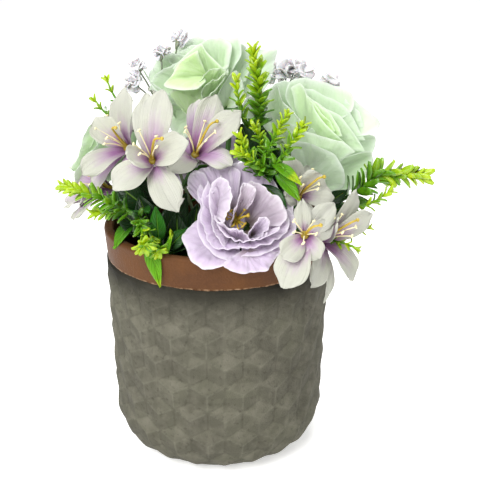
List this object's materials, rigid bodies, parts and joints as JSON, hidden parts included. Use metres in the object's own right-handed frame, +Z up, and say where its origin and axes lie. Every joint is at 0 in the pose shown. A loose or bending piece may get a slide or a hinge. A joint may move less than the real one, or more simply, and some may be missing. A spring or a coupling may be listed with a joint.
{
  "type": "potted artificial flower arrangement",
  "caption": "Round concrete pot with a tumbling-block relief and a copper-painted collar, filled with silk roses, lisianthus, lilies and plastic greenery.",
  "frame": {"origin": "pot's axis at the plane it stands on", "axes": "+Z up along the pot's axis, -Y towards the arrangement's front, +X to the right as seen from the front"},
  "size_m": [0.2011, 0.1712, 0.2407],
  "materials": {
    "concrete": "rough cast grey-olive concrete",
    "copper_paint": "matte copper-brown paint",
    "foam": "dark green floral foam",
    "rose_silk": "thin pale mint silk, yellower at the heart",
    "lisianthus_silk": "thin pale lilac silk, greenish at the heart",
    "lily_silk": "thin cream silk with a purple throat",
    "stamen": "olive-yellow moulded plastic",
    "stem": "green moulded plastic",
    "sprig": "glossy lime plastic, darker towards the foot",
    "leaf": "glossy green plastic",
    "babys_breath": "whitish crumpled florets on thin green twigs"
  },
  "bodies": {
    "root": {"pot": "concrete", "foam_block": "foam", "rose_top_stem": "stem", "rose_right_stem": "stem", "rose_left_stem": "stem", "rose_back_stem": "stem", "lisianthus_front_stem": "stem", "lisianthus_back_stem": "stem", "lily_stem_left": "stem", "lily_stem_right": "stem", "lily_stem_back": "stem", "sprig_tall": "sprig", "sprig_centre": "sprig", "sprig_right": "sprig", "sprig_far_left": "sprig", "sprig_low_left": "sprig", "sprig_back": "sprig", "sprig_back_left": "sprig", "babys_breath_left": "babys_breath", "babys_breath_right": "babys_breath", "lisianthus_front_stamens": "stamen", "lisianthus_front_petals": "lisianthus_silk", "lisianthus_back_stamens": "stamen", "lisianthus_back_petals": "lisianthus_silk", "lily_left_stamens": "stamen", "lily_left_petals": "lily_silk", "lily_middle_stamens": "stamen", "lily_middle_petals": "lily_silk", "lily_upper_stamens": "stamen", "lily_upper_petals": "lily_silk", "lily_low_right_stamens": "stamen", "lily_low_right_petals": "lily_silk", "lily_low_front_stamens": "stamen", "lily_low_front_petals": "lily_silk", "lily_under_rose_stamens": "stamen", "lily_under_rose_petals": "lily_silk", "lily_far_left_stamens": "stamen", "lily_far_left_petals": "lily_silk", "lily_back_stamens": "stamen", "lily_back_petals": "lily_silk", "rose_top_petals": "rose_silk", "rose_right_petals": "rose_silk", "rose_left_petals": "rose_silk", "rose_back_petals": "rose_silk", "leaves_low_left": "leaf", "leaves_left": "leaf", "leaves_centre": "leaf", "leaves_right": "leaf", "leaves_back": "leaf", "leaves_back_left": "leaf"}
  },
  "joints": []
}
